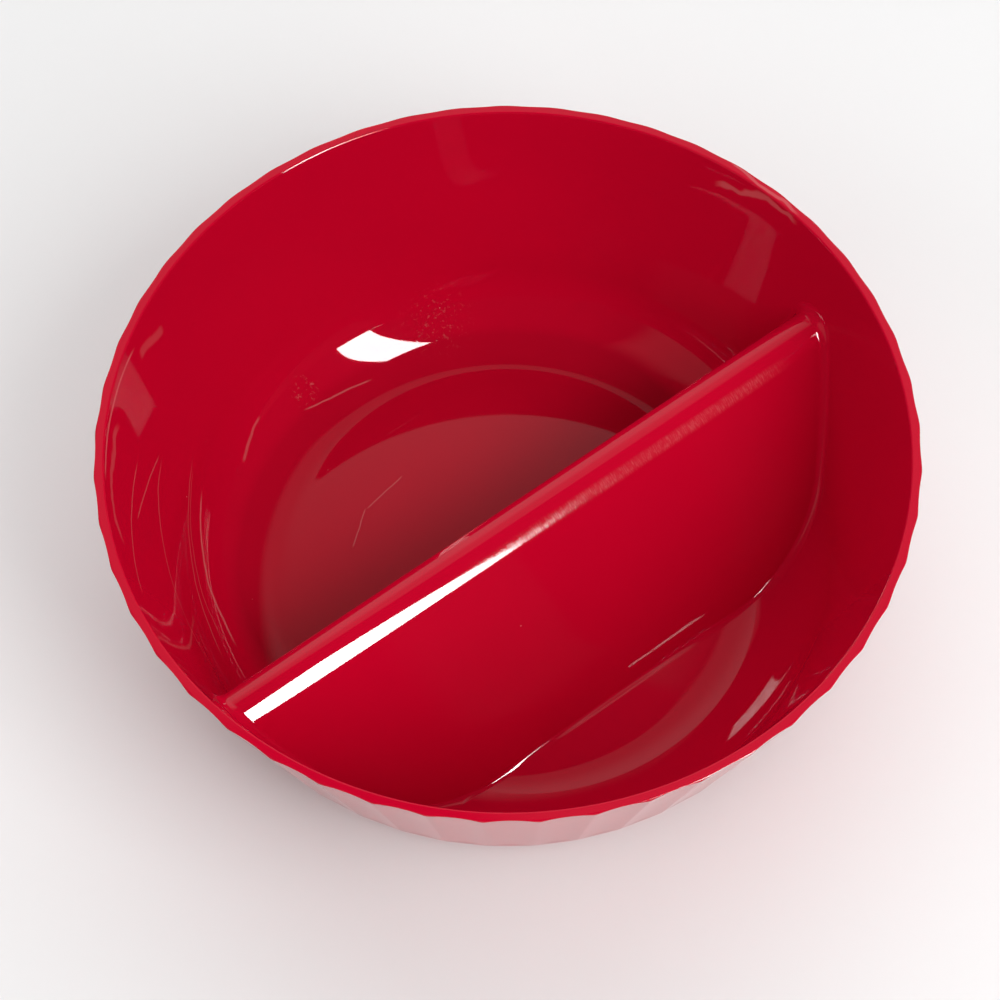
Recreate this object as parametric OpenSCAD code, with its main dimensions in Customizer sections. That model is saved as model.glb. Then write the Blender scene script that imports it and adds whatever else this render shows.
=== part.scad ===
// Divided serving bowl: one gloss red moulding, shown as its natural regions.
// The divider runs along X, and the small compartment lies on the -Y side of it.
// The origin is under the middle of the bowl, on the surface that it stands on.

/* [Bowl] */
// Diameter over the ridges at the rim
rim_d = 250; // [236:1:276]
// Height from the foot to the top of the rim
bowl_h = 88; // [80:1:95]
// Thickness of the moulding
wall_t = 3.2; // [2.6:0.1:3.8]
// Lean of the wall away from upright, in degrees
wall_lean = 16.7; // [14:0.1:18.5]
// Width of the wall and its corner seen from above, from the rim in to the gutter, the lowest ring of the inside
side_w = 50; // [47:1:54]
// Rise of the crowned floor above the gutter
floor_rise = 3.4; // [1:0.1:5]

/* [Rim] */
// Rounding of the outer edge of the rim
rim_outer_round = 0.6; // [0.4:0.1:1.2]
// Rounding of the inner edge of the rim
rim_inner_round = 0.7; // [0.4:0.1:0.9]

/* [Flutes] */
// Number of flutes round the wall
flutes = 49; // [41:2:57]
// Hollow of a flute at the rim, below the straight line between its ridges
flute_hollow = 0.5; // [0.3:0.05:0.7]
// Width of the land that is left on each ridge at the rim
ridge_w = 1.2; // [0.8:0.1:2]

/* [Divider] */
// Drop from the top of the rim to the top of the divider
divider_drop = 24; // [19:1:34]
// Distance of the divider's top from the middle, towards the small compartment
divider_shift = 13.2; // [9:0.1:17]
// Width of the flat along the top of the divider
top_flat = 2.5; // [1:0.1:5]
// Rounding of the top of the divider
top_round = 6.2; // [5:0.1:7]
// Depth of the small floor, from the gutter's far side to the divider's foot
small_floor_w = 15; // [10:0.5:22]
// Lean of the face towards the large compartment, in degrees
large_lean = 12; // [7:0.5:18]
// Fillet round the foot and the ends of the divider
blend_r = 3; // [2:0.5:6]
// Flat that is left under the floor between the foot ring and the divider's hollow
hollow_land = 2.4; // [1.5:0.1:4]
// Draft of the hollow's ends, in degrees
hollow_draft = 1.5; // [0.5:0.1:3]

/* [Foot] */
// Distance from the foot ring in to the gutter's circle, where the ring stands
foot_inset = 8; // [6:0.5:12]
// Width of the foot ring where it stands
foot_w = 3.2; // [2.4:0.1:4.5]
// Height of the foot ring below the gutter
foot_h = 2.6; // [2:0.1:4]
// Rounding of the foot ring's edges
foot_round = 0.6; // [0.3:0.1:1]
// Draft of the foot ring's sides, in degrees
foot_draft = 10; // [4:1:16]

/* [Hidden] */
$fn = 180;
bowl_red = [0.73, 0.02, 0.14];

// Clearance between the ends of the divider and the turned wall that they lie against
seat_gap = 0.05;
// How far cutting shapes run past what they cut
overrun = 2;
// The stretch of the corner radius that belongs to the wall, where the flutes run out, in degrees
band_angle = 14;
// Steps round that stretch, round the rest inside and outside, round a rounding and across the crown
band_steps = 3;
corner_steps = 11;
outer_steps = 7;
round_steps = 4;
crown_steps = 8;
// Steps round a fillet or the divider's top, up a face, along it and across its end
blend_steps = 6;
face_steps = 8;
length_steps = 14;
seat_steps = 12;

// Inside of the bowl: a crown, a gutter, a corner radius and a leaning wall
rim_r = rim_d / 2;
gutter_r = rim_r - side_w;
foot_r = gutter_r - foot_inset;
edge_r = rim_r + rim_outer_round * (tan(wall_lean) + 1 / cos(wall_lean) - 1);
inner_edge_r = edge_r - wall_t / cos(wall_lean);
gutter_z = foot_h + wall_t;
depth = bowl_h - gutter_z;
corner_r = ((inner_edge_r - gutter_r) * cos(wall_lean) - depth * sin(wall_lean)) / (1 - sin(wall_lean));
corner_z = gutter_z + corner_r;
crown_angle = 2 * atan(floor_rise / gutter_r);
crown_r = gutter_r / sin(crown_angle) - corner_r;
crown_z = corner_z - gutter_r / tan(crown_angle);

// Where the crown runs into the gutter, on the surface that lies an inset below the floor
function crown_edge(inset) = gutter_r - (corner_r + inset) * sin(crown_angle);

// Height of that surface at a radius
function floor_z(r, inset = 0) = r < crown_edge(inset)
    ? crown_z + sqrt((crown_r - inset) ^ 2 - r ^ 2)
    : corner_z - sqrt((corner_r + inset) ^ 2 - (r - gutter_r) ^ 2);

// Radius of the inner surface at a height above the gutter
function inner_r(z) = z < corner_z - corner_r * sin(wall_lean)
    ? gutter_r + sqrt(max(0, corner_r ^ 2 - (corner_z - z) ^ 2))
    : inner_edge_r - (bowl_h - z) * tan(wall_lean);

// Points on an arc about a centre, from one angle to another
function arc(centre, r, from, to, steps) =
    [for (i = [0:steps]) let (a = from + (to - from) * i / steps) centre + r * [cos(a), sin(a)]];

// The floor in section from the middle to the gutter, an inset below its upper side
function floor_line(inset) = concat(
    [for (i = [0:crown_steps]) let (r = crown_edge(inset) * i / crown_steps) [r, floor_z(r, inset)]],
    [for (i = [1:round_steps])
        let (a = crown_angle * (1 - i / round_steps))
        [gutter_r - (corner_r + inset) * sin(a), corner_z - (corner_r + inset) * cos(a)]]
);

// Angle on the corner radius where the wall ends and the corner begins
split_angle = -wall_lean - band_angle;

// The corner in section, from the gutter to the wall
module corner_section() {
    centre = [gutter_r, corner_z];
    polygon(concat(
        arc(centre, corner_r, -90, split_angle, corner_steps),
        arc(centre, corner_r + wall_t, split_angle, -90, outer_steps)
    ));
}

module corner() {
    color(bowl_red)
        rotate_extrude() corner_section();
}

// The wall in section, from the corner up to the rim and down the outside
module wall_section() {
    centre = [gutter_r, corner_z];
    inner_x = inner_edge_r + rim_inner_round * (1 / cos(wall_lean) - tan(wall_lean));
    outer_x = rim_r - rim_outer_round;
    polygon(concat(
        arc(centre, corner_r, split_angle, -wall_lean, band_steps),
        arc([inner_x, bowl_h - rim_inner_round], rim_inner_round, 180 - wall_lean, 90, round_steps),
        arc([outer_x, bowl_h - rim_outer_round], rim_outer_round, 90, -wall_lean, round_steps),
        arc(centre, corner_r + wall_t, -wall_lean, split_angle, band_steps)
    ));
}

// A flute is cut by a round bar that leans with the wall, kept to its own part of the ring
pitch_angle = 360 / flutes;
flute_chord = 2 * edge_r * sin(pitch_angle / 2) - ridge_w;
valley_r = sqrt(edge_r ^ 2 - (flute_chord / 2) ^ 2) - flute_hollow;
flute_lean = atan(valley_r / edge_r * tan(wall_lean));
flute_r = flute_chord ^ 2 / (8 * flute_hollow * cos(flute_lean));

module flute_cut() {
    half_share = (flute_chord + ridge_w / 2) / (2 * edge_r);
    wedge_l = edge_r + overrun;
    intersection() {
        translate([valley_r, 0, bowl_h])
            rotate([0, flute_lean, 0])
                translate([flute_r, 0, 0])
                    cylinder(h = 2 * bowl_h, r = flute_r, center = true);
        translate([0, 0, corner_z / 2])
            linear_extrude(height = bowl_h)
                polygon([[gutter_r, -gutter_r * half_share], [wedge_l, -wedge_l * half_share],
                    [wedge_l, wedge_l * half_share], [gutter_r, gutter_r * half_share]]);
    }
}

module wall() {
    color(bowl_red)
        difference() {
            rotate_extrude() wall_section();
            // A ridge lies on the Y axis, square to the divider
            for (i = [0:flutes - 1])
                rotate([0, 0, 90 + (i + 1 / 2) * pitch_angle]) flute_cut();
        }
}

// The floor in section
module floor_section() {
    polygon(concat(floor_line(0), [for (i = [crown_steps + round_steps:-1:0]) floor_line(wall_t)[i]]));
}

// The face towards the small compartment leans as it must to reach from the rounded top to
// the fillet at the edge of the small floor
divider_z = bowl_h - divider_drop;
top_z = divider_z - top_round;
small_foot_y = small_floor_w - gutter_r;
small_lean = let (
        dy = -small_foot_y - divider_shift - top_flat / 2,
        dz = top_z - gutter_z - blend_r
    ) acos((top_round + blend_r) / norm([dy, dz])) - atan(dz / dy);

// Half section of the divider on one side of its middle line, from the floor to its flat top.
// Each point is [y, z, lift, normal]: lift is 1 at the floor and 0 where the fillet ends, and
// normal is the direction in degrees that the surface faces. An inset gives its underside.
function half_section(lean, inset = 0) =
    let (
        face_y = top_flat / 2 + top_round / cos(lean) + (top_z - gutter_z - blend_r) * tan(lean),
        foot = [face_y + blend_r / cos(lean), gutter_z + blend_r],
        top = [top_flat / 2, top_z],
        face_from = foot - (blend_r + inset) * [cos(lean), sin(lean)],
        face_to = top + (top_round - inset) * [cos(lean), sin(lean)]
    )
    concat(
        [for (i = [0:blend_steps - 1])
            let (
                a = -90 - (90 - lean) * i / blend_steps,
                p = foot + (blend_r + inset) * [cos(a), sin(a)]
            )
            [p[0], p[1], cos(90 * i / blend_steps) ^ 2, a + 180]],
        [for (i = [0:face_steps])
            let (p = face_from + (face_to - face_from) * i / face_steps)
            [p[0], p[1], 0, lean]],
        [for (i = [1:blend_steps])
            let (
                a = lean + (90 - lean) * i / blend_steps,
                p = top + (top_round - inset) * [cos(a), sin(a)]
            )
            [p[0], p[1], 0, a]]
    );

// The whole section from the small floor over the top to the large floor
function whole_section(inset = 0) =
    let (small = half_section(small_lean, inset), large = half_section(large_lean, inset))
    concat(
        [for (p = small) [-divider_shift - p[0], p[1], p[2], 180 - p[3]]],
        [for (i = [len(large) - 1:-1:0]) let (p = large[i]) [p[0] - divider_shift, p[1], p[2], p[3]]]
    );

section = whole_section();
section_count = len(section);
pair_count = section_count / 2;
large_foot_y = section[section_count - 1][0];

// A point of the section where it nears the wall at one end, +1 or -1. It lies a share of the
// fillet from the wall along X, and the section swells there by the fillet's rise.
function end_point(p, share, end) =
    let (
        rise = blend_r * (1 - sqrt(1 - (1 - share) ^ 2)) * (1 - p[2]),
        y = p[0] + rise * cos(p[3]),
        z = p[1] + rise * sin(p[3]),
        x = sqrt((inner_r(z) - seat_gap) ^ 2 - y ^ 2) - share * blend_r
    )
    [end * x, y, z + p[2] * (floor_z(min(norm([x, y]), gutter_r)) - gutter_z)];

// A point of the section at a share of the way from the end of one fillet to the other
function run_point(p, share) =
    let (x = end_point(p, 1, 1)[0] * (1 - 2 * share))
    [x, p[0], p[1] + p[2] * (floor_z(min(norm([x, p[0]]), gutter_r)) - gutter_z)];

// The rings of the skin from the +X end to the -X end, each as [share, end]
end_shares = [for (i = [0:blend_steps]) 1 - cos(90 * i / blend_steps)];
rings = concat(
    [for (share = end_shares) [share, 1]],
    [for (i = [1:length_steps - 1]) [i / length_steps, 0]],
    [for (i = [blend_steps:-1:0]) [end_shares[i], -1]]
);
ring_count = len(rings);
skin_points = [for (ring = rings, p = section)
    ring[1] == 0 ? run_point(p, ring[0]) : end_point(p, ring[0], ring[1])];

// Where the divider lies against the wall: rows of points between the two sides of the section
function end_ring(end) = end == 1 ? 0 : ring_count - 1;
seat_points = [for (end = [1, -1], pair = [0:pair_count - 2], k = [1:seat_steps - 1])
    let (
        a = skin_points[end_ring(end) * section_count + pair],
        b = skin_points[(end_ring(end) + 1) * section_count - 1 - pair],
        p = a + (b - a) * k / seat_steps,
        r = (pair == 0 ? gutter_r : inner_r(p[2])) - seat_gap
    )
    [end * sqrt(r ^ 2 - p[1] ^ 2), p[1], p[2]]];

// Number of the point in a row, where the topmost row has only its two ends
function seat_index(end, pair, k) =
    let (first = end_ring(end) * section_count + pair, last = (end_ring(end) + 1) * section_count - 1 - pair)
    k == 0 || (pair == pair_count - 1 && k <= seat_steps / 2) ? first
    : k == seat_steps || pair == pair_count - 1 ? last
    : len(skin_points) + ((end == 1 ? 0 : pair_count - 1) + pair) * (seat_steps - 1) + k - 1;

// The edge round the foot of the divider, and the same edge dropped to the ground
foot_edge = concat(
    [for (i = [0:ring_count - 1]) i * section_count],
    [for (k = [1:seat_steps - 1]) seat_index(-1, 0, k)],
    [for (i = [ring_count - 1:-1:0]) (i + 1) * section_count - 1],
    [for (k = [seat_steps - 1:-1:1]) seat_index(1, 0, k)]
);
edge_count = len(foot_edge);
upper_points = concat(skin_points, seat_points);
under_points = [for (i = foot_edge) [upper_points[i][0], upper_points[i][1], 0]];

// The two triangles of a patch, without one that has no width
function patch(a, b, c, d) = [for (t = [[a, b, c], [b, d, c]]) if (t[0] != t[1] && t[1] != t[2] && t[0] != t[2]) t];

// The divider as a solid that stands on the ground
module divider_mass() {
    under = len(upper_points);
    polyhedron(
        points = concat(upper_points, under_points),
        faces = concat(
            [for (i = [0:ring_count - 2], j = [0:section_count - 2])
                let (a = i * section_count + j, b = a + section_count)
                each patch(a, b, a + 1, b + 1)],
            [for (pair = [0:pair_count - 2], k = [0:seat_steps - 1]) each concat(
                patch(seat_index(1, pair, k), seat_index(1, pair + 1, k),
                    seat_index(1, pair, k + 1), seat_index(1, pair + 1, k + 1)),
                patch(seat_index(-1, pair, k), seat_index(-1, pair, k + 1),
                    seat_index(-1, pair + 1, k), seat_index(-1, pair + 1, k + 1))
            )],
            [for (i = [0:edge_count - 1])
                let (j = (i + 1) % edge_count)
                each patch(foot_edge[i], under + i, foot_edge[j], under + j)],
            [[for (i = [edge_count - 1:-1:0]) under + i]]
        )
    );
}

// The space below the floor
module under_space() {
    rotate_extrude()
        polygon(concat(floor_line(wall_t), [[gutter_r + overrun, foot_h], [gutter_r + overrun, -overrun], [0, -overrun]]));
}

// The hollow under the divider, as far out as a straight pull allows inside the foot ring
module divider_hollow() {
    hollow_r = foot_r - foot_w - hollow_land;
    mouth = whole_section(wall_t);
    intersection() {
        rotate([90, 0, 90])
            linear_extrude(height = rim_d, center = true)
                polygon(concat([for (p = mouth) [p[0], p[1]]],
                    [[mouth[section_count - 1][0], -overrun], [mouth[0][0], -overrun]]));
        translate([0, 0, -overrun])
            cylinder(h = divider_z, r1 = hollow_r, r2 = hollow_r - divider_z * tan(hollow_draft));
    }
}

module divider() {
    color(bowl_red)
        difference() {
            divider_mass();
            under_space();
            divider_hollow();
        }
}

// The floor on one side of the divider, from a line along X out to the wall, +1 or -1 along Y
module floor_part(line_y, side) {
    color(bowl_red)
        intersection() {
            rotate_extrude() floor_section();
            translate([-rim_r, side > 0 ? line_y : line_y - rim_r, 0])
                cube([rim_d, rim_r, bowl_h]);
        }
}

module large_floor() {
    floor_part(large_foot_y, 1);
}

module small_floor() {
    floor_part(small_foot_y, -1);
}

// The ring that the bowl stands on, up to the underside of the floor
module foot_ring() {
    flank = foot_round * (1 / cos(foot_draft) - tan(foot_draft));
    spread = gutter_z * tan(foot_draft);
    color(bowl_red)
        rotate_extrude()
            difference() {
                polygon(concat(
                    arc([foot_r - foot_w + flank, foot_round], foot_round, 180 + foot_draft, 270, round_steps),
                    arc([foot_r - flank, foot_round], foot_round, 270, 360 - foot_draft, round_steps),
                    [[foot_r + spread, gutter_z], [foot_r - foot_w - spread, gutter_z]]
                ));
                floor_section();
                translate([0, gutter_z])
                    square([rim_r, floor_rise + wall_t]);
            }
}

wall();
corner();
large_floor();
small_floor();
divider();
foot_ring();
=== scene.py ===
from math import acos, atan, cos, hypot, pi, radians, sin, sqrt, tan

import bpy
import numpy as np
from mathutils import Matrix, Vector


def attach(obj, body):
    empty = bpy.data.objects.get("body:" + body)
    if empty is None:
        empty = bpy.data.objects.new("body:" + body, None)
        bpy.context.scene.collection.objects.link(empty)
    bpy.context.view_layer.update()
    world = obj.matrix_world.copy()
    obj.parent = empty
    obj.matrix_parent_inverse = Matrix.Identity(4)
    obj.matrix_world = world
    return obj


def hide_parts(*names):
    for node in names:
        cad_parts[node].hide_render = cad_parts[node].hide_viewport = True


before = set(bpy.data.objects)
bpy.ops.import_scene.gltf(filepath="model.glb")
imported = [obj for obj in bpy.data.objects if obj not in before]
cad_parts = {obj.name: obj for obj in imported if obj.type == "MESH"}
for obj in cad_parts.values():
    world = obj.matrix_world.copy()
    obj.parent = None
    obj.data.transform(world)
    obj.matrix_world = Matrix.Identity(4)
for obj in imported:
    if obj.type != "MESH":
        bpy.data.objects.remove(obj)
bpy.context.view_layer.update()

# Sizes of the bowl, in metres
RIM_D, BOWL_H, WALL_T = 0.250, 0.088, 0.0032
WALL_LEAN = radians(16.7)
SIDE_W, FLOOR_RISE = 0.050, 0.0034
RIM_OUTER_ROUND, RIM_INNER_ROUND = 0.0006, 0.0007
FLUTES, FLUTE_HOLLOW, RIDGE_W = 49, 0.0005, 0.0012
DIVIDER_DROP, DIVIDER_SHIFT = 0.024, 0.0132
TOP_FLAT, TOP_ROUND = 0.0025, 0.0062
SMALL_TOP_ROUND = 0.0094              # the top is rounded more softly on the small compartment's side
SMALL_FLOOR_W = 0.015
LARGE_LEAN = radians(12)
BLEND_R = 0.003
HOLLOW_LAND, HOLLOW_DRAFT = 0.0024, radians(1.5)
HOLLOW_BELOW = 0.002                  # how far under the bowl the hollow's drafted ends are measured from
FOOT_INSET, FOOT_W, FOOT_H = 0.008, 0.0032, 0.0026
FOOT_ROUND, FOOT_DRAFT = 0.0006, radians(10)

# lines that follow from them
RIM_R = RIM_D / 2
GUTTER_R = RIM_R - SIDE_W
FOOT_R = GUTTER_R - FOOT_INSET
EDGE_R = RIM_R + RIM_OUTER_ROUND * (tan(WALL_LEAN) + 1 / cos(WALL_LEAN) - 1)
INNER_EDGE_R = EDGE_R - WALL_T / cos(WALL_LEAN)
GUTTER_Z = FOOT_H + WALL_T
CORNER_R = (((INNER_EDGE_R - GUTTER_R) * cos(WALL_LEAN) - (BOWL_H - GUTTER_Z) * sin(WALL_LEAN))
            / (1 - sin(WALL_LEAN)))
CORNER_Z = GUTTER_Z + CORNER_R
CROWN_ANGLE = 2 * atan(FLOOR_RISE / GUTTER_R)
CROWN_R = GUTTER_R / sin(CROWN_ANGLE) - CORNER_R
CROWN_Z = CORNER_Z - GUTTER_R / tan(CROWN_ANGLE)
PITCH = 2 * pi / FLUTES
CHORD = 2 * EDGE_R * sin(PITCH / 2) - RIDGE_W
VALLEY_R = sqrt(EDGE_R ** 2 - (CHORD / 2) ** 2) - FLUTE_HOLLOW
FLUTE_LEAN = atan(VALLEY_R / EDGE_R * tan(WALL_LEAN))
TOP_Z = BOWL_H - DIVIDER_DROP - TOP_ROUND
SMALL_FOOT_Y = SMALL_FLOOR_W - GUTTER_R
_RUN = -SMALL_FOOT_Y - DIVIDER_SHIFT - TOP_FLAT / 2
_RISE = TOP_Z - GUTTER_Z - BLEND_R
SMALL_LEAN = acos((TOP_ROUND + BLEND_R) / hypot(_RUN, _RISE)) - atan(_RISE / _RUN)


# Lines in section
def arc(cx, cz, r, start, stop, steps):
    """Points on a circle about (cx, cz) from one angle to another, both in degrees."""
    a = np.radians(np.linspace(start, stop, steps + 1))
    return np.stack([cx + r * np.cos(a), cz + r * np.sin(a)], axis=-1)


def straight(p, q, steps):
    """Points between p and q, both left out."""
    t = np.linspace(0, 1, steps + 1)[1:-1, None]
    return np.asarray(p) * (1 - t) + np.asarray(q) * t


def floor_z(r, inset=0.0):
    """Height of the floor at radius r: a crowned cap, which a tangent arc, the gutter, brings level at the
    gutter's radius. An inset gives the parallel surface that far below."""
    crown = CROWN_Z + np.sqrt((CROWN_R - inset) ** 2 - r ** 2)
    gutter = CORNER_Z - np.sqrt(np.maximum(0, (CORNER_R + inset) ** 2 - (r - GUTTER_R) ** 2))
    return np.where(r < GUTTER_R - (CORNER_R + inset) * sin(CROWN_ANGLE), crown, gutter)


def floor_under(x, y, inset=0.0):
    """Height of the floor at a place, which stays the gutter's beyond the gutter's radius."""
    return floor_z(np.minimum(np.hypot(x, y), GUTTER_R), inset)


def inner_r(z):
    """Radius of the inside at height z: the corner radius up to its tangent point, then the leaning wall."""
    corner = GUTTER_R + np.sqrt(np.maximum(0, CORNER_R ** 2 - (CORNER_Z - z) ** 2))
    wall = INNER_EDGE_R - (BOWL_H - z) * tan(WALL_LEAN)
    return np.where(z < CORNER_Z - CORNER_R * sin(WALL_LEAN), corner, wall)


# Meshes from grids
COLLAPSED = 1e-14                     # a shorter normal is that of a grid corner that lies on its neighbour
WELD = 2e-7                           # points that round to the same multiple of this are one point


def slope(p, axis):
    """Differences along one axis of a grid, of second order at its ends too where it has three points."""
    return np.gradient(p, axis=axis, edge_order=2 if p.shape[axis] > 2 else 1)


class Skin:
    """Grids of points that together close one piece. Each grid brings the normals of its own formula, so two
    grids that meet at an edge keep it crisp, and two that run on tangent to each other look like one."""

    def __init__(self):
        self.points, self.normals, self.quads, self.count = [], [], [], 0

    def _keep(self, points, normals, quads):
        self.points.append(points)
        self.normals.append(normals)
        self.quads.append(quads + self.count)
        self.count += len(points)

    def add(self, grid, flip=False, wrap=False):
        """Adds P(u, v), an array of points on two parameters, whose normal is the cross product of the
        derivatives along u and v. wrap joins the last row of u to the first."""
        p = np.asarray(grid, float)
        if wrap:
            ring = np.concatenate([p[-2:], p, p[:2]])
            du = np.gradient(ring, axis=0)[2:-2]
        else:
            du = slope(p, 0)
        n = np.cross(du, slope(p, 1))
        size = np.linalg.norm(n, axis=-1, keepdims=True)
        flat = size[..., 0] < COLLAPSED
        n = n / np.maximum(size, 1e-30)
        rows, cols = p.shape[:2]
        if flat.any():
            # a collapsed corner takes the normal of the next point inward
            i, j = np.nonzero(flat)
            inward_i = np.where(i == 0, 1, np.where(i == rows - 1, i - 1, i))
            inward_j = np.where(j == 0, 1, np.where(j == cols - 1, j - 1, j))
            n[i, j] = n[inward_i, inward_j]
        index = np.arange(rows * cols).reshape(rows, cols)
        if wrap:
            index = np.concatenate([index, index[:1]])
        a, b, c, d = index[:-1, :-1], index[1:, :-1], index[1:, 1:], index[:-1, 1:]
        quads = np.stack([a, b, c, d], axis=-1).reshape(-1, 4)
        if flip:
            quads, n = quads[:, ::-1], -n
        self._keep(p.reshape(-1, 3), n.reshape(-1, 3), quads)

    def stitch(self, outer, inner, middle, normal):
        """Closes the strip between two loops that go round the same middle anticlockwise. In order of
        direction, each point makes one triangle with the point before it on its own loop and the latest one
        on the other."""
        both = np.concatenate([outer, inner])
        turn = np.arctan2(both[:, 1] - middle[1], both[:, 0] - middle[0])
        outer_order = np.argsort(turn[:len(outer)])
        inner_order = len(outer) + np.argsort(turn[len(outer):])
        on_inner = np.argsort(turn, kind="stable") >= len(outer)
        step_out, step_in = np.cumsum(~on_inner) - 1, np.cumsum(on_inner) - 1
        now_out, now_in = outer_order[step_out % len(outer)], inner_order[step_in % len(inner)]
        before = np.where(on_inner, inner_order[(step_in - 1) % len(inner)],
                          outer_order[(step_out - 1) % len(outer)])
        own, other = np.where(on_inner, now_in, now_out), np.where(on_inner, now_out, now_in)
        a, b = np.where(on_inner, own, before), np.where(on_inner, before, own)
        self._keep(both, normal(both), np.stack([b, a, other, other], axis=-1))

    def piece(self, name, *nodes):
        """Welds the points that lie together, leaves out triangles without width, and makes the object that
        stands for the named nodes."""
        points = np.concatenate(self.points)
        normals = np.concatenate(self.normals)
        quads = np.concatenate(self.quads)
        corners = np.concatenate([quads[:, [0, 1, 2]], quads[:, [0, 2, 3]]])
        _, first, weld = np.unique(np.round(points / WELD).astype(np.int64), axis=0,
                                   return_index=True, return_inverse=True)
        welded = weld.ravel()[corners]
        keep = ((welded[:, 0] != welded[:, 1]) & (welded[:, 1] != welded[:, 2])
                & (welded[:, 0] != welded[:, 2]))
        corners, welded = corners[keep], welded[keep]
        mesh = bpy.data.meshes.new(name)
        mesh.vertices.add(len(first))
        mesh.vertices.foreach_set("co", points[first].ravel())
        mesh.loops.add(welded.size)
        mesh.loops.foreach_set("vertex_index", welded.ravel())
        mesh.polygons.add(len(welded))
        mesh.polygons.foreach_set("loop_start", np.arange(0, welded.size, 3))
        mesh.polygons.foreach_set("use_smooth", np.ones(len(welded), bool))
        mesh.update(calc_edges=True)
        mesh.normals_split_custom_set(normals[corners.ravel()].tolist())
        thing = bpy.data.objects.new(name, mesh)
        bpy.context.scene.collection.objects.link(thing)
        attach(thing, "root")
        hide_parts(*nodes)
        return thing


def spun(section, angle):
    """Revolves a section of (r, z) round the Z axis: P(angle, step) = (r cos, r sin, z)."""
    r, z = section[:, 0][None, :], section[:, 1][None, :]
    return np.stack([r * np.cos(angle), r * np.sin(angle), z + 0 * angle], axis=-1)


# The wall with its flutes and rim
COLUMNS = 14                          # columns of the mesh over one flute
CROWDING = 1.9                        # how strongly they crowd towards the flute's two ridges
EASE = 0.0001                         # over how far the plain wall and a flute are eased into each other
FADE_FROM, FADE_OVER = CORNER_Z / 2, CORNER_Z / 4      # heights over which the flutes come up on the corner


def wall_sections():
    """The wall in section: the inside from the floor up, the top of the rim, and the outside down again."""
    lean = np.degrees(WALL_LEAN)
    inner_x = INNER_EDGE_R + RIM_INNER_ROUND * (1 / cos(WALL_LEAN) - tan(WALL_LEAN))
    outer_x = RIM_R - RIM_OUTER_ROUND
    corner_in = arc(GUTTER_R, CORNER_Z, CORNER_R, -90, -lean, 26)
    lip_in = arc(inner_x, BOWL_H - RIM_INNER_ROUND, RIM_INNER_ROUND, 180 - lean, 90, 6)
    lip_out = arc(outer_x, BOWL_H - RIM_OUTER_ROUND, RIM_OUTER_ROUND, 90, -lean, 8)
    corner_out = arc(GUTTER_R, CORNER_Z, CORNER_R + WALL_T, -lean, -90, 30)
    inside = np.concatenate([corner_in, straight(corner_in[-1], lip_in[0], 14), lip_in])
    top = np.concatenate([lip_in[-1:], straight(lip_in[-1], lip_out[0], 3), lip_out[:1]])
    outside = np.concatenate([lip_out, straight(lip_out[-1], corner_out[0], 18), corner_out])
    return inside, top, outside


def make_wall():
    """The section of the wall is carried round in columns that crowd towards the flutes' ridges. The inside
    and the rim keep their plain radius. Outside, a column's radius is the smaller of the plain wall's and of
    the leaning bar's that cuts the flute, with the two eased into each other."""
    inside, top, outside = wall_sections()
    side = np.linspace(-1, 1, COLUMNS + 1)[:-1]
    offset = np.sign(side) * np.abs(side) ** CROWDING * PITCH / 2
    ridge = pi / 2 + np.arange(FLUTES)[:, None] * PITCH
    angle = (ridge + offset[None, :]).ravel()[:, None]
    from_valley = np.tile(np.where(offset < 0, offset + PITCH / 2, offset - PITCH / 2), FLUTES)[:, None]

    plain, z = outside[:, 0][None, :] + 0 * angle, outside[:, 1][None, :] + 0 * angle
    bar = plain
    for _ in range(3):
        # the bar's face bulges with the distance across it, which depends on the radius that is sought
        across = bar * np.sin(from_valley)
        bar = (VALLEY_R - (BOWL_H - z) * tan(FLUTE_LEAN)
               + across ** 2 * 4 * FLUTE_HOLLOW / CHORD ** 2) / np.cos(from_valley)
    fluted = (plain + bar - np.sqrt((plain - bar) ** 2 + EASE ** 2)) / 2
    cut = np.clip((z - FADE_FROM) / FADE_OVER, 0, 1)
    fluted = plain + (fluted - plain) * cut * cut * (3 - 2 * cut)

    outer = np.stack([fluted * np.cos(angle), fluted * np.sin(angle), z], axis=-1)
    share = np.linspace(0, 1, len(top))[None, :, None]
    land = spun(inside[-1:], angle) * (1 - share) + outer[:, :1] * share
    edge = np.array([outside[-1], (outside[-1] + inside[0]) / 2, inside[0]])
    skin = Skin()
    skin.add(spun(inside, angle), wrap=True, flip=True)
    skin.add(land, wrap=True, flip=True)
    skin.add(outer, wrap=True, flip=True)
    skin.add(spun(edge, angle), wrap=True, flip=True)
    return skin.piece("fluted_wall", "wall", "corner")


# The two floors
def make_floor(name, node, foot_y, across=160, deep=44):
    """One side of the crowned floor: rays from the bowl's middle, each from where it crosses the divider's
    foot line, r = foot_y / cos(angle), out to the gutter's radius. The underside is the same grid at the
    inset."""
    spread = acos(abs(foot_y) / GUTTER_R)
    a = np.linspace(-spread, spread, across + 1)[:, None]
    share = np.linspace(0, 1, deep + 1)[None, :]
    side = 1 if foot_y > 0 else -1
    r = abs(foot_y) / np.cos(a) * (1 - share) + GUTTER_R * share
    x, y = -side * r * np.sin(a), side * r * np.cos(a)
    top = np.stack([x, y, floor_z(r)], axis=-1)
    under = np.stack([x, y, floor_z(r, WALL_T)], axis=-1)
    t = np.linspace(0, 1, 3)[None, :, None]
    skin = Skin()
    skin.add(top, flip=True)
    skin.add(under)
    skin.add(top[:, :1] * (1 - t) + under[:, :1] * t)
    skin.add(top[:, -1:] * (1 - t) + under[:, -1:] * t, flip=True)
    return skin.piece(name, node)


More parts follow.
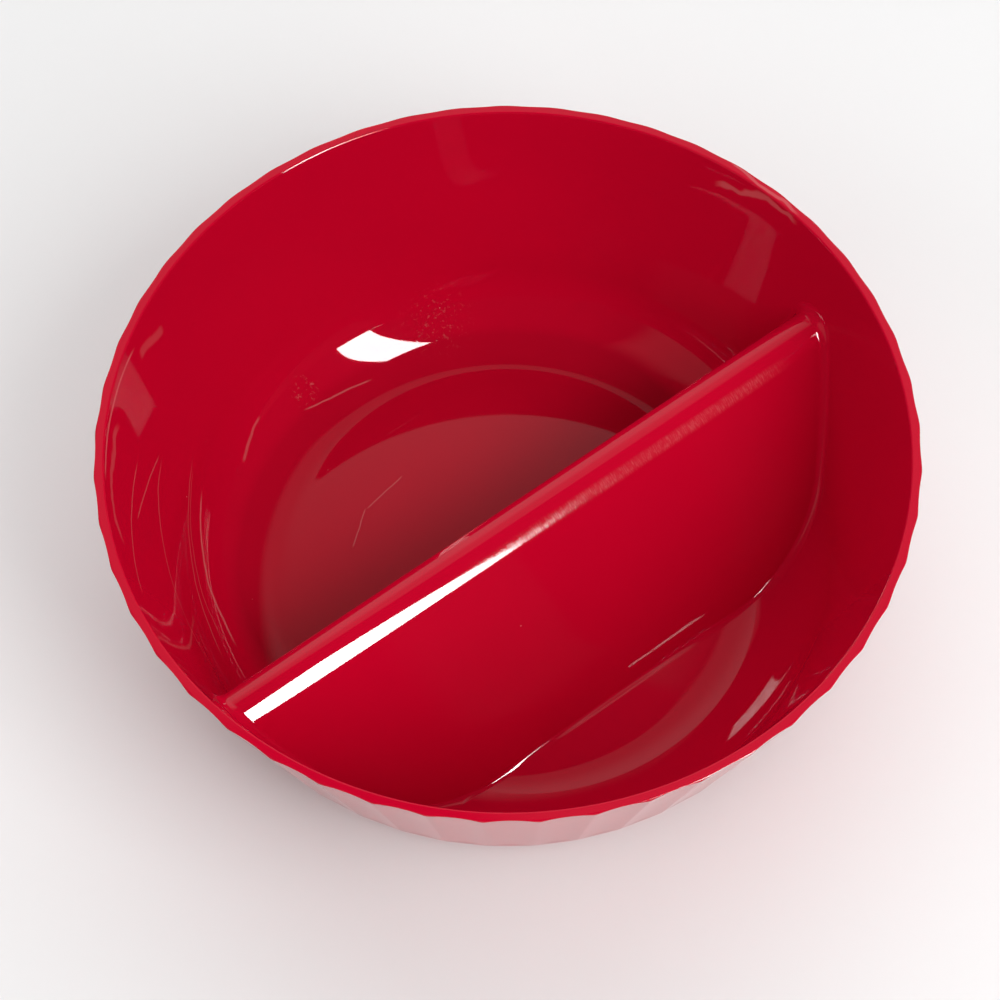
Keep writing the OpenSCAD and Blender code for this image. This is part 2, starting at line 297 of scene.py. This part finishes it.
# The divider
RING_STEPS, RUN_STEPS = 22, 70        # rows of the skin in the fillet at either end, and between the two
HOLLOW_STEPS = 80                     # rows of the hollow's skin along X
SEAT_COLUMNS, END_COLUMNS = 25, 21    # columns across the divider's ends and the hollow's ends
AROUND, RINGS = 360, 7                # the underside's directions, and its rings between foot and hollow
MIRROR_X = np.array([-1, 1, 1])
HOLLOW_OFFSET = 0.008                 # how far the hollow's middle lies on the small side of the divider's
HOLLOW_MIDDLE = np.array([0.0, -DIVIDER_SHIFT - HOLLOW_OFFSET])
JUST_ABOVE = 1e-5                     # a point higher than this over the underside counts as above it


def half_section(lean, inset=0.0, top_round=TOP_ROUND, blend=20, face=26, crest=14):
    """Half of the divider's section on one side of its middle: a fillet up from the floor, a straight leaning
    face and the rounded top. Rows are out, up, lift (1 at the floor, 0 where the fillet ends) and the
    direction in degrees that the skin faces."""
    face_y = TOP_FLAT / 2 + TOP_ROUND / cos(lean) + (TOP_Z - GUTTER_Z - BLEND_R) * tan(lean)
    foot = np.array([face_y + BLEND_R / cos(lean), GUTTER_Z + BLEND_R])
    softer = top_round - TOP_ROUND
    top = np.array([TOP_FLAT / 2 - softer * tan((pi / 2 - lean) / 2), TOP_Z - softer])
    out = np.array([cos(lean), sin(lean)])
    turn = np.degrees(lean)
    i = np.arange(blend)
    a = -90 - (90 - turn) * i / blend
    fillet = np.stack([foot[0] + (BLEND_R + inset) * np.cos(np.radians(a)),
                       foot[1] + (BLEND_R + inset) * np.sin(np.radians(a)),
                       np.cos(np.radians(90 * i / blend)) ** 2, a + 180], axis=-1)
    t = np.linspace(0, 1, face + 1)[:, None]
    line = (foot - (BLEND_R + inset) * out) * (1 - t) + (top + (top_round - inset) * out) * t
    line = np.concatenate([line, 0 * t, 0 * t + turn], axis=1)
    a = turn + (90 - turn) * np.arange(1, crest + 1) / crest
    crown = np.stack([top[0] + (top_round - inset) * np.cos(np.radians(a)),
                      top[1] + (top_round - inset) * np.sin(np.radians(a)), 0 * a, a], axis=-1)
    return np.concatenate([fillet, line, crown])


def whole_section(inset=0.0):
    """From the small floor over the top to the large floor: rows of y, z, lift and facing."""
    small = half_section(SMALL_LEAN, inset, SMALL_TOP_ROUND)
    large = half_section(LARGE_LEAN, inset)[::-1]
    small = np.stack([-DIVIDER_SHIFT - small[:, 0], small[:, 1], small[:, 2], 180 - small[:, 3]], axis=-1)
    large = np.stack([large[:, 0] - DIVIDER_SHIFT, large[:, 1], large[:, 2], large[:, 3]], axis=-1)
    return np.concatenate([small, large])


LARGE_FOOT_Y = whole_section()[-1, 0]


def lifted(x, y, z, lift):
    """Near its foot the section is lifted with the crowned floor that it runs into."""
    return np.stack([x, y, z + lift * (floor_under(x, y) - GUTTER_Z)], axis=-1)


def end_grid(section, share):
    """The section near the wall, at a share of the fillet from it: the fillet's quarter circle swells each
    point along its own facing, and the point lies that far inside the wall along X."""
    y0, z0, lift, facing = [section[:, k][None, :] for k in range(4)]
    s = share[:, None]
    swell = BLEND_R * (1 - np.sqrt(1 - (1 - s) ** 2)) * (1 - lift)
    y = y0 + swell * np.cos(np.radians(facing))
    z = z0 + swell * np.sin(np.radians(facing))
    x = np.sqrt(inner_r(z) ** 2 - y ** 2) - s * BLEND_R
    return x, y, z, lift + 0 * s


def divider_body():
    """The divider's skin: its section carried along X, with a fillet into the wall at either end."""
    x, y, z, lift = end_grid(whole_section(), 1 - np.cos(np.linspace(0, pi / 2, RING_STEPS + 1)))
    plus = lifted(x, y, z, lift)
    t = np.linspace(1, -1, RUN_STEPS + 1)[1:-1, None]
    run = lifted(x[-1:] * t, y[-1:] + 0 * t, z[-1:] + 0 * t, lift[-1:] + 0 * t)
    return np.concatenate([plus, run, plus[::-1] * MIRROR_X])


def end_rows(ring, columns):
    """Rows straight across from one side of an end ring to the other, from its foot to its top."""
    half = len(ring) // 2
    k = np.linspace(0, 1, columns)[None, :, None]
    return ring[:half, None] * (1 - k) + ring[::-1][:half, None] * k


def pushed_out(rows, r):
    """The rows, moved along X until they lie at radius r."""
    return np.stack([np.sqrt(r ** 2 - rows[..., 1] ** 2), rows[..., 1], rows[..., 2]], axis=-1)


def add_ends(skin, grid, apex, flip):
    """Closes a grid at its topmost point and adds it at both ends of the divider."""
    closed = np.concatenate([grid, np.repeat(apex[None, None], grid.shape[1], axis=1)])
    skin.add(closed, flip=flip)
    skin.add(closed * MIRROR_X, flip=not flip)


def loop_round(grid, end):
    """The lowest line all round: along the grid's one side, across the end at -X, back along its other side
    and across the end at +X."""
    return np.concatenate([grid[:, 0], (end * MIRROR_X)[0, 1:-1], grid[::-1, -1], end[0, 1:-1][::-1]])


def hollow_line():
    """The divider's section moved in by the wall's thickness, and cut off at the floor's underside."""
    y, z = whole_section(WALL_T)[:, :2].T
    above = z > floor_under(0, y, WALL_T) + JUST_ABOVE
    first, last = np.nonzero(above)[0][[0, -1]]

    def meeting(below, above):
        """Halves the way between a point below the underside and one above it."""
        p, q = np.array([y[below], z[below]]), np.array([y[above], z[above]])
        for _ in range(40):
            middle = (p + q) / 2
            if middle[1] > floor_z(abs(middle[0]), WALL_T):
                q = middle
            else:
                p = middle
        return (p + q)[None] / 2

    kept = np.stack([y, z], axis=-1)[first:last + 1]
    return np.concatenate([meeting(first - 1, first), kept, meeting(last + 1, last)])


def hollow_end_r(z):
    """Radius of the hollow's ends at height z: a cone that narrows upwards by the draft."""
    return FOOT_R - FOOT_W - HOLLOW_LAND - (z + HOLLOW_BELOW) * tan(HOLLOW_DRAFT)


def hollow_skin():
    """The hollow's line carried along X between its ends."""
    y, z = hollow_line().T
    t = np.linspace(1, -1, HOLLOW_STEPS + 1)[:, None]
    x = np.sqrt(hollow_end_r(z) ** 2 - y ** 2)[None, :] * t
    underside = floor_under(x, y[None, :], WALL_T)
    height = np.maximum(z[None, :] + 0 * t, underside)
    height[:, [0, -1]] = underside[:, [0, -1]]
    return np.stack([x, y[None, :] + 0 * t, height], axis=-1)


def make_divider():
    """The skin of the divider, its ends on the bowl's wall, a skirt through the floor's thickness, the hollow
    with its ends, and the underside between skirt and hollow."""
    skin = Skin()
    body = divider_body()
    skin.add(body, flip=True)

    rows = end_rows(body[0], SEAT_COLUMNS)
    r = inner_r(rows[..., 2])
    r[0] = GUTTER_R
    seat = pushed_out(rows, r)
    add_ends(skin, seat, seat[-1, 0], flip=True)

    foot = loop_round(body, seat)
    under = np.stack([foot[:, 0], foot[:, 1], floor_under(foot[:, 0], foot[:, 1], WALL_T)], axis=-1)
    drop = np.linspace(0, 1, 3)[None, :, None]
    skin.add(foot[:, None] * (1 - drop) + under[:, None] * drop, wrap=True)

    hollow = hollow_skin()
    skin.add(hollow)
    rows = end_rows(hollow[0], END_COLUMNS)
    end = pushed_out(rows, hollow_end_r(rows[..., 2]))
    end[:, 0], end[:, -1] = rows[:, 0], rows[:, -1]
    count = hollow.shape[1]
    add_ends(skin, end, hollow[0, count // 2] if count % 2 else end[-1, 0], flip=False)

    add_underside(skin, under, loop_round(hollow, end))
    return skin.piece("divider_fold", "divider")


def add_underside(skin, outer, inner):
    """The floor's inset surface between two loops: rings at even shares of the way between them, in evenly
    spaced directions from the middle of the hollow, stitched to the points of either loop."""

    def reach(loop, wanted):
        """How far the loop lies from the middle in each of the wanted directions."""
        apart = loop[:, :2] - HOLLOW_MIDDLE
        turn = np.arctan2(apart[:, 1], apart[:, 0])
        order = np.argsort(turn)
        turn, far = turn[order], np.linalg.norm(apart, axis=1)[order]
        return np.interp(wanted, np.concatenate([turn[-1:] - 2 * pi, turn, turn[:1] + 2 * pi]),
                         np.concatenate([far[-1:], far, far[:1]]))

    def facing_down(p):
        n = p - np.array([0, 0, CROWN_Z])
        return -n / np.linalg.norm(n, axis=-1, keepdims=True)

    a = np.linspace(-pi, pi, AROUND, endpoint=False)[:, None]
    t = np.linspace(0, 1, RINGS + 2)[None, 1:-1]
    far = reach(outer, a) * (1 - t) + reach(inner, a) * t
    x, y = HOLLOW_MIDDLE[0] + far * np.cos(a), HOLLOW_MIDDLE[1] + far * np.sin(a)
    grid = np.stack([x, y, floor_under(x, y, WALL_T)], axis=-1)
    skin.add(grid, wrap=True, flip=True)
    skin.stitch(outer, grid[:, 0], HOLLOW_MIDDLE, facing_down)
    skin.stitch(grid[:, -1], inner, HOLLOW_MIDDLE, facing_down)


# The foot ring
FOOT_COLUMNS = 480                    # columns of the foot ring's mesh
RISE_STEPS = 200                      # steps in which a side of the ring is followed up to the underside


def make_foot():
    """The ring's drafted section, rounded where it stands and closed by the floor's underside, turned
    round Z."""
    flank = FOOT_ROUND * (1 / cos(FOOT_DRAFT) - tan(FOOT_DRAFT))
    draft = np.degrees(FOOT_DRAFT)
    inner = arc(FOOT_R - FOOT_W + flank, FOOT_ROUND, FOOT_ROUND, 180 + draft, 270, 8)
    outer = arc(FOOT_R - flank, FOOT_ROUND, FOOT_ROUND, 270, 360 - draft, 8)

    def rise(p, way):
        """Where a drafted side that starts at p meets the underside."""
        z = np.linspace(p[1], GUTTER_Z, RISE_STEPS)
        r = p[0] + way * (z - p[1]) * tan(FOOT_DRAFT)
        hit = np.argmax(z >= floor_z(r, WALL_T))
        return np.array([r[hit], floor_z(r[hit], WALL_T)])

    inner_top, outer_top = rise(inner[0], -1), rise(outer[-1], 1)
    stands = np.concatenate([[inner_top], straight(inner_top, inner[0], 5), inner,
                             straight(inner[-1], outer[0], 6), outer,
                             straight(outer[-1], outer_top, 5), [outer_top]])
    r = np.linspace(outer_top[0], inner_top[0], 8)
    lid = np.stack([r, floor_z(r, WALL_T)], axis=-1)
    angle = np.linspace(0, 2 * pi, FOOT_COLUMNS, endpoint=False)[:, None]
    skin = Skin()
    skin.add(spun(stands, angle), wrap=True)
    skin.add(spun(lid, angle), wrap=True)
    return skin.piece("foot_ring_turned", "foot_ring")


wall = make_wall()
large_floor = make_floor("large_floor_plate", "large_floor", LARGE_FOOT_Y)
small_floor = make_floor("small_floor_plate", "small_floor", SMALL_FOOT_Y, across=120, deep=16)
divider = make_divider()
foot = make_foot()


# Shader maths
class Value:
    """A socket with the operators of arithmetic. Each adds the Math node that works it out."""

    def __init__(self, sheet, socket):
        self.sheet, self.socket = sheet, socket

    def math(self, operation, *terms):
        return self.sheet.node("ShaderNodeMath", {"operation": operation}, dict(enumerate(terms)))

    def __add__(self, other):
        return self.math("ADD", self, other)

    __radd__ = __add__

    def __mul__(self, other):
        return self.math("MULTIPLY", self, other)

    __rmul__ = __mul__

    def __sub__(self, other):
        return self.math("SUBTRACT", self, other)

    def __rsub__(self, other):
        return self.math("SUBTRACT", other, self)

    def __pow__(self, other):
        return self.math("POWER", self, other)

    def up_to(self, other):
        return self.math("MINIMUM", self, other)

    def at_least(self, other):
        return self.math("MAXIMUM", self, other)

    def size(self):
        return self.math("ABSOLUTE", self)

    def ramp(self, low, high, bottom=0.0, top=1.0):
        """Eases from bottom to top while the value goes from low to high."""
        if low > high:
            low, high, bottom, top = high, low, top, bottom
        return self.sheet.node("ShaderNodeMapRange", {"interpolation_type": "SMOOTHSTEP"},
                               {"Value": self, "From Min": low, "From Max": high, "To Min": bottom,
                                "To Max": top})


class Sheet:
    """A node tree with one way to add any node."""

    def __init__(self, tree):
        self.tree = tree
        tree.nodes.clear()

    def node(self, kind, settings=None, inputs=None, output=0):
        """Adds a node with its settings and its inputs, each a value or a link, and gives one of its outputs,
        or the node itself where output is None."""
        made = self.tree.nodes.new(kind)
        for name, value in (settings or {}).items():
            setattr(made, name, value)
        for name, value in (inputs or {}).items():
            if isinstance(value, Value):
                self.tree.links.new(value.socket, made.inputs[name])
            else:
                made.inputs[name].default_value = value
        if output is None:
            return made
        return Value(self, made.outputs[output])

    def axes(self, vector):
        parts = self.node("ShaderNodeSeparateXYZ", None, {0: vector}, output=None)
        return [Value(self, part) for part in parts.outputs]

    def noise(self, place, scale, detail=2.0, rough=0.5):
        return self.node("ShaderNodeTexNoise", None,
                         {"Vector": place, "Scale": scale, "Detail": detail, "Roughness": rough})

    def mix(self, factor, a, b):
        return self.node("ShaderNodeMix", {"data_type": "RGBA"}, {0: factor, 6: a, 7: b}, output=2)

    def moved(self, place, location=(0, 0, 0), turn=(0, 0, 0), scale=(1, 1, 1)):
        return self.node("ShaderNodeMapping", None,
                         {"Vector": place, "Location": location, "Rotation": turn, "Scale": scale})

    def apart(self, place, point):
        """Distance of the place from a fixed point."""
        return self.node("ShaderNodeVectorMath", {"operation": "DISTANCE"}, {0: place, 1: tuple(point)},
                         output="Value")


# The red plastic
RED = (0.470, 0.0008, 0.0185)
# the colour of the painted shade: the red darkened as if in shadow
PAINTED_SHADE_RED = (0.17, 0.0010, 0.006, 1)          # the red where its shade is full
DUST = (0.75, 0.40, 0.38, 1)
WORN_RED = (0.62, 0.20, 0.20, 1)
CLOUD_SCALE, FINE_SCALE, SMUDGE_SCALE, DUST_SCALE = 15, 900, 60, 110.0
BUMP_DEPTH = 0.0004                            # in metres


def red_plastic(name, rough=0.02, marks=(), dull=0.0, painted_shade=None, shine=0.5):
    """Glossy red moulding. Large soft patches change the colour slightly. Smudges and fine scratches change
    the roughness, and the scratches and a faint waviness of the moulding bend the reflections. Each of the
    marks is a function of the sheet and the place, and gives how worn the plastic is there. painted_shade
    gives painted shade: where it is below 1 the colour is darkened towards a shaded red. shine gives how
    strongly the surface mirrors."""
    material = bpy.data.materials.new(name)
    material.use_nodes = True
    s = Sheet(material.node_tree)
    place = s.node("ShaderNodeTexCoord", output="Object")
    x, y, z = s.axes(place)

    cloud = s.noise(place, CLOUD_SCALE, 3)
    fine = s.noise(place, FINE_SCALE, 2)
    smudge = s.noise(place, SMUDGE_SCALE, 4, 0.65).ramp(0.52, 0.74)

    def hairlines(turn, density, length, threshold, seed):
        """Thin lines: noise drawn out along one direction, of which only the highest crests count."""
        drawn = s.moved(place, (seed, seed * 0.7, 0.3), turn, (1 / length, density, density))
        return s.noise(drawn, 1.0, 1.0, 0.4).ramp(threshold, threshold + 0.03)

    lines = (hairlines((0.3, 0.2, 0.5), 900, 0.02, 0.76, 1.3)
             .at_least(hairlines((-0.4, 0.1, -1.1), 1100, 0.016, 0.775, 4.1)))
    lines = lines * s.noise(place, 18, 2).ramp(0.42, 0.6)
    dust = s.node("ShaderNodeTexVoronoi", {"feature": "F1"},
                  {"Vector": place, "Scale": DUST_SCALE, "Randomness": 1.0})
    speck = dust.ramp(0.035, 0.015) * s.noise(place, 70, 1).ramp(0.56, 0.60)

    worn = None
    for mark in marks:
        here = mark(s, place, x, y, z)
        worn = here if worn is None else worn.at_least(here)

    light = tuple(c * 1.025 for c in RED) + (1,)
    deep = tuple(c * 0.975 for c in RED) + (1,)
    colour = s.mix(cloud.ramp(0.3, 0.7), deep, light)
    # painted shade: the colour is darkened towards the shaded red as painted_shade falls below 1
    if painted_shade:
        colour = s.mix(painted_shade(x, y, z), PAINTED_SHADE_RED, colour)
    colour = s.mix(speck * 0.5, colour, DUST)
    roughness = rough + smudge * 0.02 + cloud * 0.006 + lines * 0.10 + speck * 0.25 + dull
    height = cloud * 0.25 + fine * 0.006 - lines * 0.06
    if worn is not None:
        colour = s.mix(worn * 0.42, colour, WORN_RED)
        roughness = roughness + worn * 0.20
        height = height - worn * 0.08
    bump = s.node("ShaderNodeBump", None, {"Strength": 0.25, "Distance": BUMP_DEPTH, "Height": height})
    shader = s.node("ShaderNodeBsdfPrincipled", None,
                    {"Base Color": colour, "Roughness": roughness.up_to(0.8), "IOR": 1.5,
                     "Specular IOR Level": shine, "Normal": bump})
    s.node("ShaderNodeOutputMaterial", None, {"Surface": shader}, output=None)
    return material


def on_wall(angle, height):
    """A place on the inside, by angle round the bowl in degrees from +X and height in millimetres."""
    z = height / 1000.0
    r = float(inner_r(np.array(z)))
    return Vector((r * cos(radians(angle)), r * sin(radians(angle)), z))


def scratch(start, middle, end, width, strength, wander=0.0003):
    """A long thin mark through three places: where a plane through them cuts the surface, as far as its ends,
    a little wavy, and fading out at both ends."""
    across = (middle - start).cross(end - middle).normalized()
    reach = (end - start).length / 2

    def mark(s, place, x, y, z):
        level = s.node("ShaderNodeVectorMath", {"operation": "DOT_PRODUCT"}, {0: place, 1: tuple(across)},
                       output="Value")
        off = level - across.dot(middle) + (s.noise(place, 70, 2) - 0.5) * wander * 6
        apart = s.apart(place, (start + end) / 2)
        return off.size().ramp(width, width * 0.35) * apart.ramp(reach * 1.04, reach * 0.8) * strength
    return mark


def smudged(centre, reach, strength):
    """A rubbed patch of fine speckle that fades out round a place."""
    def mark(s, place, x, y, z):
        speckle = s.noise(place, 700, 3, 0.7).ramp(0.55, 0.72)
        return s.apart(place, centre).ramp(reach, reach * 0.3) * speckle * strength
    return mark


# the rubbed band on the divider's top: how far from the bowl's middle it runs, its half width, the half width
# of its full wear, the heights it comes up between, and where along X it begins and ends
SCUFF_SHIFT, SCUFF_REACH, SCUFF_FULL = 0.0188, 0.0020, 0.0006
SCUFF_HEIGHTS = (0.0590, 0.0605)
SCUFF_BEGINS, SCUFF_ENDS = (-0.045, 0.010), (0.100, 0.085)


def crest_scuffs(s, place, x, y, z):
    """Rubbing along the divider's top on the small compartment's side: fine ticks across a dull band that
    gets stronger towards +X."""
    band = (y + SCUFF_SHIFT).size().ramp(SCUFF_REACH, SCUFF_FULL) * z.ramp(*SCUFF_HEIGHTS)
    ticks = s.noise(s.moved(place, turn=(0, 0, 0.6), scale=(2200, 420, 420)), 1.0, 3.0, 0.7).ramp(0.42, 0.70)
    return band * (ticks * 0.34 + 0.09) * x.ramp(*SCUFF_BEGINS) * x.ramp(*SCUFF_ENDS)


# the painted shade on the large floor, which stands in for the weak light from overhead and for the divider's
# shadow: the distances from the X axis over which it weakens, those on the small compartment's side over
# which it comes off, and the radii over which it goes over into the wall's plain colour
PAINTED_SHADE_WEAKENS, PAINTED_SHADE_LEFT_OFF, PAINTED_SHADE_TO_WALL = (0.006, 0.050), (0.0, -0.004), (0.077, 0.092)


def floor_painted_shade(x, y, z):
    """Painted shade on the large floor: its colour is painted a little darker than the wall's, standing in
    for the weak light from overhead, and darker still close to the divider as its painted shadow. The painted
    shade goes over into the wall's plain colour on the corner radius."""
    r = (x * x + y * y) ** 0.5
    # painted shadow of the divider, darkest at its foot and weaker away from it
    painted_shadow_near_divider = y.ramp(*PAINTED_SHADE_WEAKENS, 0.30, 0.80)
    return painted_shadow_near_divider.at_least(r.ramp(*PAINTED_SHADE_TO_WALL)).at_least(y.ramp(*PAINTED_SHADE_LEFT_OFF))


# each by its start, middle and end, its width in metres and its strength
wall_marks = (
    scratch(on_wall(132, 22), on_wall(147, 16.3), on_wall(163, 11.5), 0.00042, 1.0),
    scratch(on_wall(129, 32), on_wall(148, 22), on_wall(166, 17), 0.00034, 0.55),
    scratch(on_wall(130, 30), on_wall(146, 21), on_wall(162, 15), 0.00030, 0.4),
    scratch(on_wall(135, 50), on_wall(156, 40), on_wall(171, 27), 0.00034, 0.45),
    scratch(on_wall(140, 65), on_wall(152, 69), on_wall(166, 76), 0.00040, 0.7),
    scratch(on_wall(135, 52), on_wall(143, 57.5), on_wall(150, 64), 0.00040, 0.6),
    scratch(on_wall(126, 84), on_wall(137, 85.6), on_wall(149, 86.6), 0.00050, 1.0, 0.0001),
    scratch(on_wall(119, 76), on_wall(122, 77.7), on_wall(126, 79), 0.0009, 0.35),
    # a wide pale wavy band along the wall just under the rim, drawn with the same mark as the scratches
    scratch(on_wall(138, 80.5), on_wall(147, 81.5), on_wall(158, 80.0), 0.0011, 0.45, 0.0012),
    scratch(on_wall(111, 15.5), on_wall(116, 14.4), on_wall(121, 13), 0.00036, 0.6),
    scratch(on_wall(103, 9.3), on_wall(95, 8.0), on_wall(86, 7.3), 0.00036, 0.7),
    scratch(on_wall(19, 80), on_wall(12, 85), on_wall(4, 87), 0.00055, 0.7, 0.0008),
    smudged(on_wall(68, 13), 0.016, 0.35),
    smudged(on_wall(100, 12), 0.007, 0.7))
# a hair's two bends on the large floor, each cut out by an upright plane, so their middles lie lower
floor_marks = (
    scratch(Vector((-0.008, 0.0475, 0.0078)), Vector((-0.015, 0.0475, 0.0)), Vector((-0.025, 0.0445, 0.0078)),
            0.00030, 0.7),
    scratch(Vector((-0.025, 0.0450, 0.0078)), Vector((-0.027, 0.0420, 0.0)), Vector((-0.037, 0.0355, 0.0078)),
            0.00030, 0.7))
# the wall's lower corner and the large floor carry painted shade, strongest by the divider
wall.data.materials.append(red_plastic("red_moulding_wall", marks=wall_marks, painted_shade=floor_painted_shade))
large_floor.data.materials.append(
    red_plastic("red_moulding_large_floor", rough=0.03, marks=floor_marks, painted_shade=floor_painted_shade))
small_floor.data.materials.append(red_plastic("red_moulding_small_floor"))
divider.data.materials.append(red_plastic("red_moulding_divider", marks=(crest_scuffs,), shine=0.72))
foot.data.materials.append(red_plastic("red_moulding_foot", rough=0.12, dull=0.05))


# Table, lamps, room and camera
PHOTO_TURN = radians(-36.9)          # how far the photograph's frame is turned about the bowl's middle


def in_bowl_frame(x, y, z):
    """A direction or place of the photograph's frame (X right, Y away, Z up) in the bowl's frame."""
    return Vector((x * cos(PHOTO_TURN) - y * sin(PHOTO_TURN), x * sin(PHOTO_TURN) + y * cos(PHOTO_TURN), z))


def from_azimuth(azimuth, elevation, distance=1.0):
    """A point at a distance from the bowl, by azimuth from straight away over the right, and elevation."""
    a, e = radians(azimuth), radians(elevation)
    return in_bowl_frame(distance * cos(e) * sin(a), distance * cos(e) * cos(a), distance * sin(e))


def make_table(columns=96, nearest=0.2, farthest=30):
    """The pale table top that the foot stands on: one large disc of rings that widen outwards."""
    rings = np.concatenate([[0.0], np.geomspace(nearest, farthest, 12)])
    a = np.linspace(0, 2 * pi, columns, endpoint=False)
    p = np.stack([np.outer(np.cos(a), rings), np.outer(np.sin(a), rings),
                  np.zeros((columns, len(rings)))], axis=-1)
    index = np.arange(p.shape[0] * p.shape[1]).reshape(p.shape[:2])
    index = np.concatenate([index, index[:1]])
    quads = np.stack([index[:-1, :-1], index[:-1, 1:], index[1:, 1:], index[1:, :-1]], axis=-1).reshape(-1, 4)
    mesh = bpy.data.meshes.new("table_top")
    mesh.from_pydata(p.reshape(-1, 3).tolist(), [], quads.tolist())
    table = bpy.data.objects.new("table_top", mesh)
    bpy.context.scene.collection.objects.link(table)
    material = bpy.data.materials.new("pale_table")
    material.use_nodes = True
    s = Sheet(material.node_tree)
    place = s.node("ShaderNodeTexCoord", output="Object")
    tone = s.mix(s.noise(place, 3, 2), (0.765, 0.765, 0.765, 1), (0.785, 0.785, 0.785, 1))
    shader = s.node("ShaderNodeBsdfPrincipled", None,
                    {"Base Color": tone, "Roughness": 0.9, "Specular IOR Level": 0.1})
    s.node("ShaderNodeOutputMaterial", None, {"Surface": shader}, output=None)
    mesh.materials.append(material)


LAMPS_AIM = Vector((0, 0, 0.03))
# name, azimuth and elevation in degrees, distance, width, height, and how bright it looks
FILL_LAMPS = (
    ("fill_right_front", 130, 41, 1.75, 0.88, 1.42, 5.1),
    ("fill_overhead", 0, 88, 2.2, 2.2, 2.2, 0.72),
    ("fill_left", -120, 32, 1.8, 1.6, 1.2, 1.54),
    ("fill_far", 0, 36, 2.0, 3.2, 2.0, 1.53),
    ("fill_front", 180, 45, 2.0, 1.6, 1.4, 1.25),
    ("fill_right", 80, 35, 1.8, 1.6, 1.2, 0.73))
KEY_LAMP = ("key_softbox", 130.9, 36.4, 1.6, 0.29, 2.15, 25.0)
KEY_TURN = radians(-1.9)


def add_lamp(name, azimuth, elevation, distance, width, height, radiance, turn=0.0):
    """A rectangular soft box that faces the bowl. Its power follows from its area and how bright it looks."""
    lamp = bpy.data.lights.new(name, "AREA")
    lamp.shape, lamp.size, lamp.size_y = "RECTANGLE", width, height
    lamp.energy = radiance * pi * width * height
    box = bpy.data.objects.new(name, lamp)
    bpy.context.scene.collection.objects.link(box)
    place = from_azimuth(azimuth, elevation, distance)
    facing = (LAMPS_AIM - place).to_track_quat("-Z", "Y").to_matrix().to_4x4()
    box.matrix_world = Matrix.Translation(place) @ facing @ Matrix.Rotation(turn, 4, "Z")
    box.visible_camera = False
    return box


def light_the_studio():
    """Wide soft boxes all round light the plastic and don't show in it. What does show in it is a bright
    upright soft box on the right, camera side, and the room."""
    for lamp in FILL_LAMPS:
        add_lamp(*lamp).visible_glossy = False
    add_lamp(*KEY_LAMP, turn=KEY_TURN).visible_diffuse = False


def make_room():
    """What the plastic mirrors of the room, by direction: dark overhead, pale at the horizon, with a dim
    panel beyond the bowl that gets weaker towards its top, and a dimmer window on the left."""
    world = bpy.data.worlds.new("room")
    bpy.context.scene.world = world
    world.use_nodes = True
    s = Sheet(world.node_tree)
    x, y, z = s.axes(s.node("ShaderNodeTexCoord", output="Generated"))
    away, right = in_bowl_frame(0, 1, 0), in_bowl_frame(1, 0, 0)
    far, side = x * away.x + y * away.y, x * right.x + y * right.y
    azimuth, elevation = side.math("ARCTAN2", side, far), z.math("ARCSINE", z)

    def ramp(value, low, high, bottom=0.0, top=1.0):
        """A ramp whose limits are in degrees."""
        return value.ramp(radians(low), radians(high), bottom, top)

    top = ramp(azimuth, -12, 8, radians(64.5), radians(68.5))
    bottom = ramp(azimuth, -31, -24, radians(33), radians(11))
    panel = (ramp(azimuth, -36, -31) * ramp(azimuth, 36, 14) * ramp(elevation - bottom, -1, 2)
             * ramp(top - elevation, -1, 1) * ramp(elevation, 44, 64, 0.56, 0.25))
    window = (ramp(azimuth, -141, -132) * ramp(azimuth, -103, -112) * ramp(elevation, 8, 18)
              * ramp(elevation, 72, 48) * 0.20)
    horizon = ramp(elevation, 5, 2, 0.015, 0.85)
    glow = s.node("ShaderNodeBackground", None,
                  {"Color": (1, 1, 1, 1), "Strength": horizon.at_least(panel).at_least(window)})
    s.node("ShaderNodeOutputWorld", None, {"Surface": glow}, output=None)


CAMERA_ELEVATION = radians(59.630)
CAMERA_DISTANCE = 7.0                # in rim radii, from the middle of the rim
CAMERA_ROLL, CAMERA_PAN, CAMERA_TILT = radians(-0.325), radians(-0.1547), radians(-1.2114)
SENSOR_MM, FOCAL_SHARE = 36.0, 2.8958


def place_camera():
    """The camera as it stood, fitted to the photograph: it looks past the middle of the rim by pan and tilt,
    and is rolled about its view."""
    ahead = Vector((0, cos(CAMERA_ELEVATION), -sin(CAMERA_ELEVATION)))
    sideways = Vector((1, 0, 0))
    up = sideways.cross(ahead)
    view = (ahead + sideways * tan(CAMERA_PAN) + up * tan(CAMERA_TILT)).normalized()
    level_right = view.cross(up).normalized()
    level_up = level_right.cross(view)
    right = level_right * cos(CAMERA_ROLL) + level_up * sin(CAMERA_ROLL)
    top = level_up * cos(CAMERA_ROLL) - level_right * sin(CAMERA_ROLL)
    axes = Matrix([in_bowl_frame(*right), in_bowl_frame(*top), -in_bowl_frame(*view)]).transposed().to_4x4()
    at = in_bowl_frame(*(-CAMERA_DISTANCE * ahead)) * RIM_R + Vector((0, 0, BOWL_H))
    lens = bpy.data.cameras.new("camera")
    lens.sensor_width, lens.lens = SENSOR_MM, SENSOR_MM * FOCAL_SHARE
    lens.clip_start, lens.clip_end = 0.02, 60.0
    camera = bpy.data.objects.new("camera", lens)
    bpy.context.scene.collection.objects.link(camera)
    camera.matrix_world = Matrix.Translation(at) @ axes
    bpy.context.scene.camera = camera


make_table()
light_the_studio()
make_room()
place_camera()
bpy.context.scene.view_settings.view_transform = "Standard"
